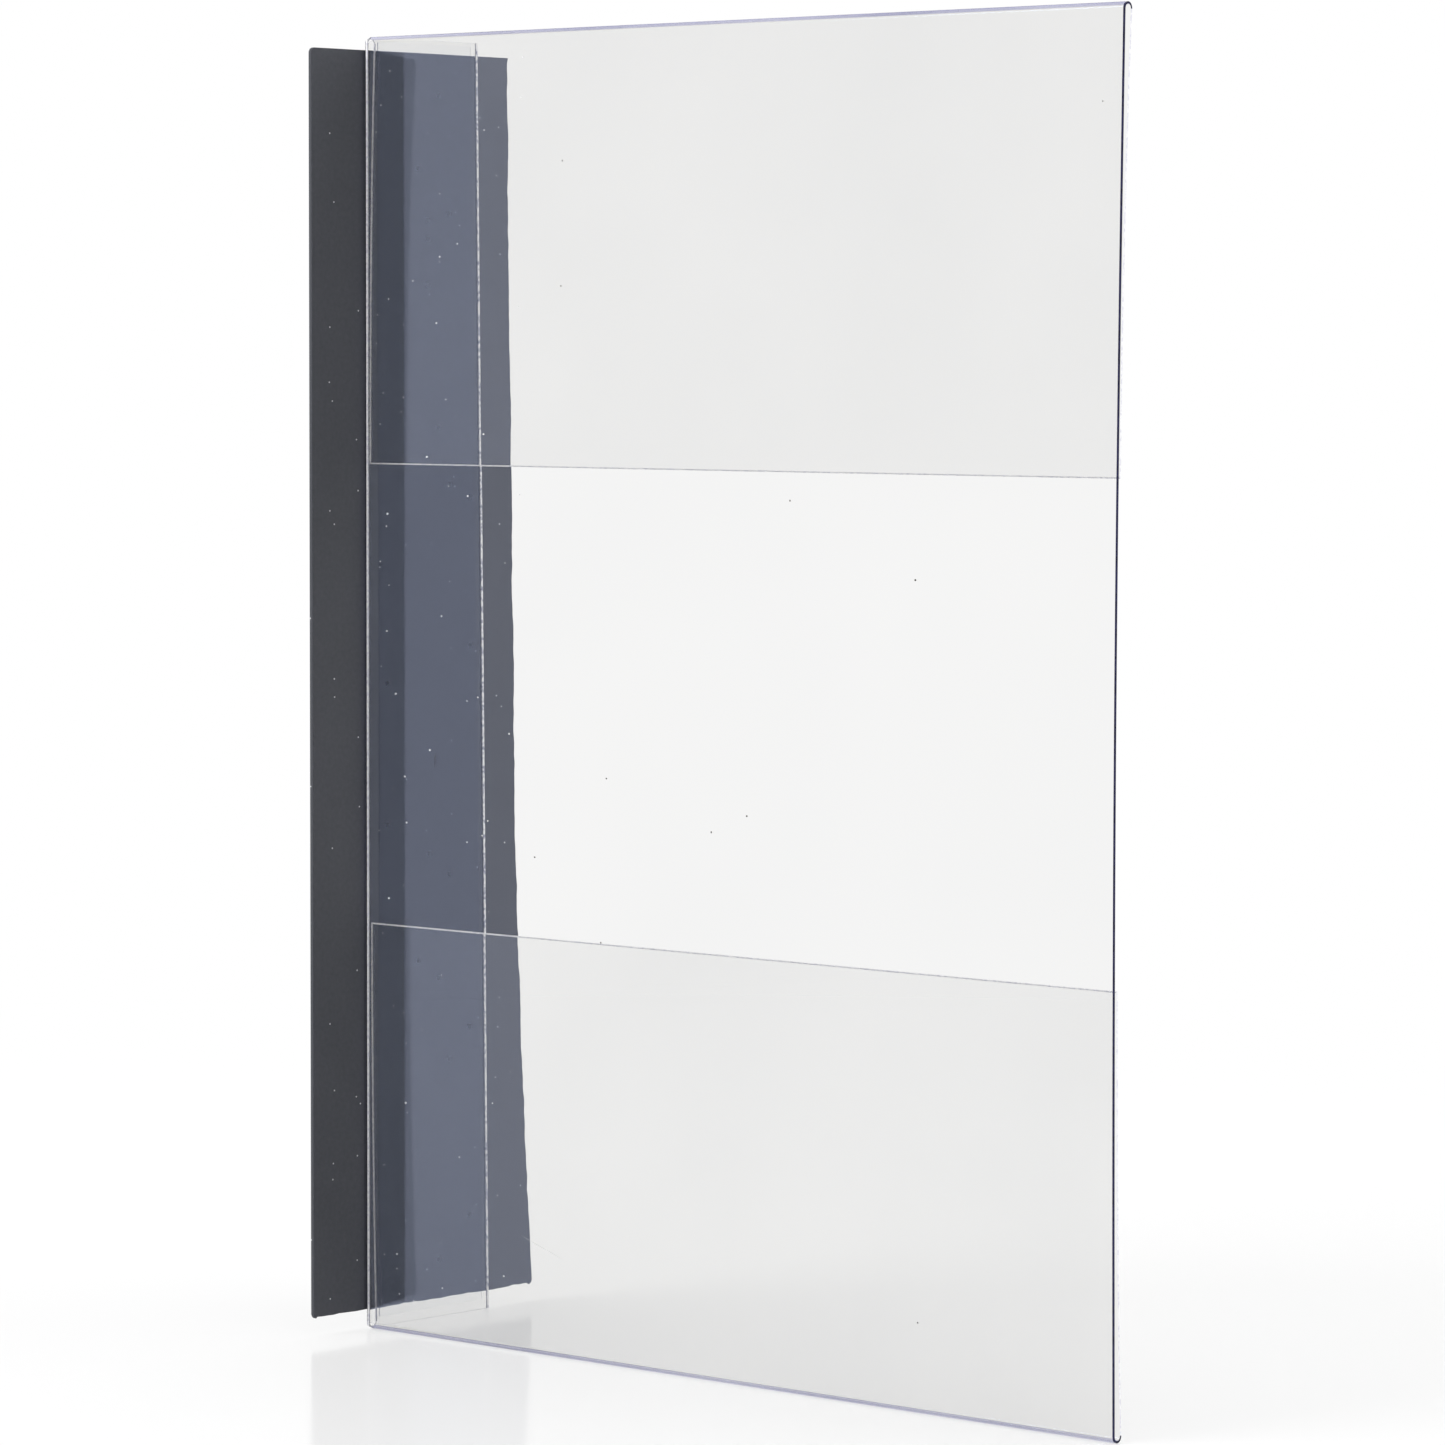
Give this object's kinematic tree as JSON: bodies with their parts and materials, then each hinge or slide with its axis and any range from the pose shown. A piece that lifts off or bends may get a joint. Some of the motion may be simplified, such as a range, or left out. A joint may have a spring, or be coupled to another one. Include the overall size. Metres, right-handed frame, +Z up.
{
  "type": "magnetic sign holder",
  "caption": "Clear folded portrait sign holder that stands out like a flag, with flaps behind its panel and a dark magnetic strip taped to its side flange.",
  "frame": {"origin": "on the floor under the middle of the whole part, which stands on its lower fold and the foot of its flange", "axes": "+Z up along the panel's height, -X out of the magnetic strip's wall face, +Y along the side flange, away from the panel's front"},
  "size_m": [0.2174, 0.0714, 0.304],
  "materials": {
    "clear_sheet": "clear, smooth and glossy, faintly blue at its cut edges",
    "clear_tape": "clear adhesive film with a soft sheen",
    "magnet_sheet": "matt dark grey magnetic sheet"
  },
  "bodies": {
    "root": {"clear_holder": "clear_sheet", "adhesive_tape": "clear_tape", "magnetic_strip": "magnet_sheet"}
  },
  "joints": []
}
